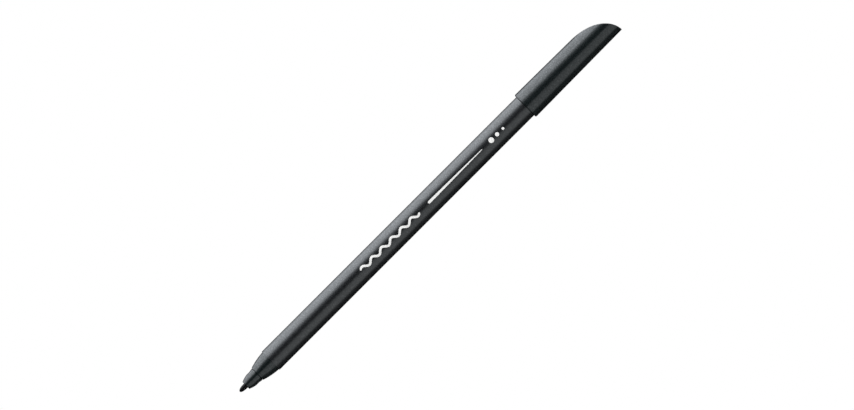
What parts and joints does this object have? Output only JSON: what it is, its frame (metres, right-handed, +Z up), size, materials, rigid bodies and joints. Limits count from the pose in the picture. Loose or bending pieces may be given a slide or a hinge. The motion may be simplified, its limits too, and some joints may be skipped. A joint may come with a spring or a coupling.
{
  "type": "felt-tip pen",
  "caption": "Slim felt-tip pen with a fibre nib, a stepped nose, a round barrel and a slant-ended pull-off cap posted on its rear.",
  "frame": {"origin": "under the middle of the pen's length, level with the lowest line of the cap's mouth", "axes": "+X from the nib to the cap's end, +Z up, towards the side that the cap's long cut faces"},
  "size_m": [0.1654, 0.0096, 0.0096],
  "materials": {
    "black_plastic": "satin-gloss moulded black polypropylene",
    "inner_plastic": "matt moulded black polyethylene",
    "nib_fibre": "bonded fibre soaked in black ink",
    "reservoir_fibre": "bundled fibre soaked in black ink",
    "film": "thin clear film over the dark reservoir",
    "print": "white pad-printed ink"
  },
  "bodies": {
    "pen": {"barrel": "black_plastic", "nose_section": "black_plastic", "nib": "nib_fibre", "ink_reservoir": "reservoir_fibre", "reservoir_film": "film", "end_plug": "black_plastic"},
    "posted_cap": {"cap": "black_plastic", "inner_cap": "inner_plastic"}
  },
  "joints": [
    {"name": "cap_pull_off", "type": "slide", "parent": "pen", "child": "posted_cap", "axis": [1, 0, 0], "range_m": [0, 0.02]}
  ]
}
